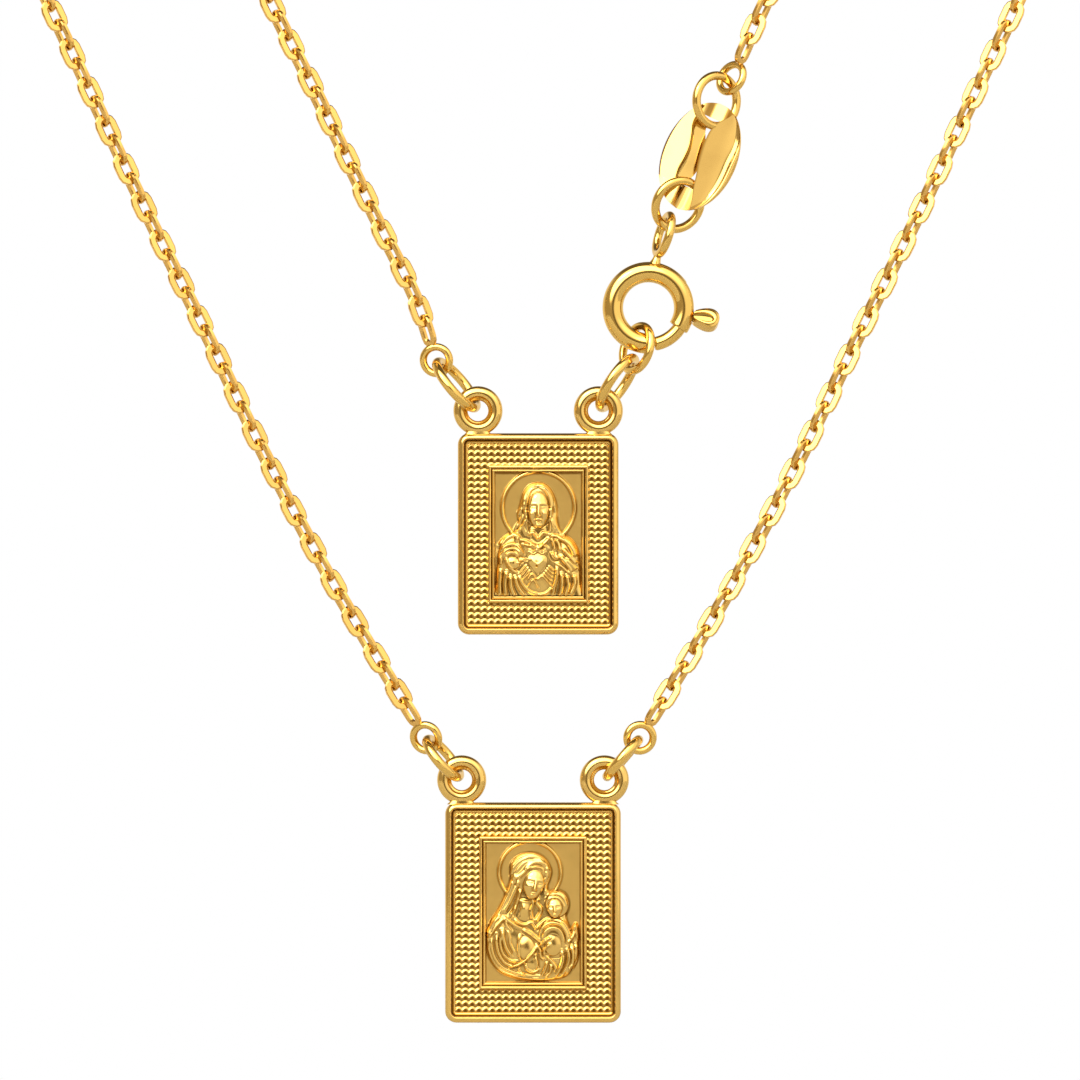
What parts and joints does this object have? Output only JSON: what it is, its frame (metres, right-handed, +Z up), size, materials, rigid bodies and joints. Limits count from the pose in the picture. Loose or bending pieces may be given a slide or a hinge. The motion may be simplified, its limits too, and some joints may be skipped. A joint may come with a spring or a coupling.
{
  "type": "scapular necklace with two religious medals",
  "caption": "Fine cable chain loop joining two framed relief medals, worn one on the chest and one on the back, closed by a spring ring clasp and an oval connector plate.",
  "frame": {"origin": "midway between the two bends of the hanging loop, level with the chain where something carries it", "axes": "+Z up, +X to the viewer's right with the clasp on that side, the medals' fronts towards -Y"},
  "size_m": [0.13, 0.0042, 0.1525],
  "materials": {
    "satin_gold": "gold plated, polished edges with a satin panel",
    "polished_gold": "gold plated, polished",
    "chain_gold": "gold plated, diamond cut"
  },
  "bodies": {
    "loop": {"lower_left_jump_ring": "polished_gold", "lower_right_jump_ring": "polished_gold", "lower_left_end_link": "polished_gold", "lower_right_end_link": "polished_gold", "upper_left_jump_ring": "polished_gold", "upper_left_end_link": "polished_gold", "upper_right_jump_ring": "polished_gold", "clasp_link": "polished_gold", "clasp_ring": "polished_gold", "plate_lower_ring": "polished_gold", "oval_plate": "polished_gold", "plate_upper_ring": "polished_gold", "chain_ring": "polished_gold", "chain_left": "chain_gold", "chain_right": "chain_gold"},
    "lower_medal_body": {"lower_medal": "satin_gold"},
    "upper_medal_body": {"upper_medal": "satin_gold"},
    "gate": {"clasp_gate": "polished_gold"}
  },
  "joints": [
    {"name": "lower_medal_swing", "type": "hinge", "parent": "loop", "child": "lower_medal_body", "pos_m": [0, 0, -0.13448], "axis": [1, 0, 0], "range_deg": [-25, 35]},
    {"name": "upper_medal_swing", "type": "hinge", "parent": "loop", "child": "upper_medal_body", "pos_m": [0.00034, 0, -0.11019], "axis": [1, 0, 0], "range_deg": [-25, 28]},
    {"name": "clasp_gate_turn", "type": "hinge", "parent": "loop", "child": "gate", "pos_m": [0.0076, 0, -0.1043], "axis": [0, -1, 0], "range_deg": [0, 38], "stiffness_Nm_per_rad": 0.0001, "springref_deg": -17.19}
  ]
}
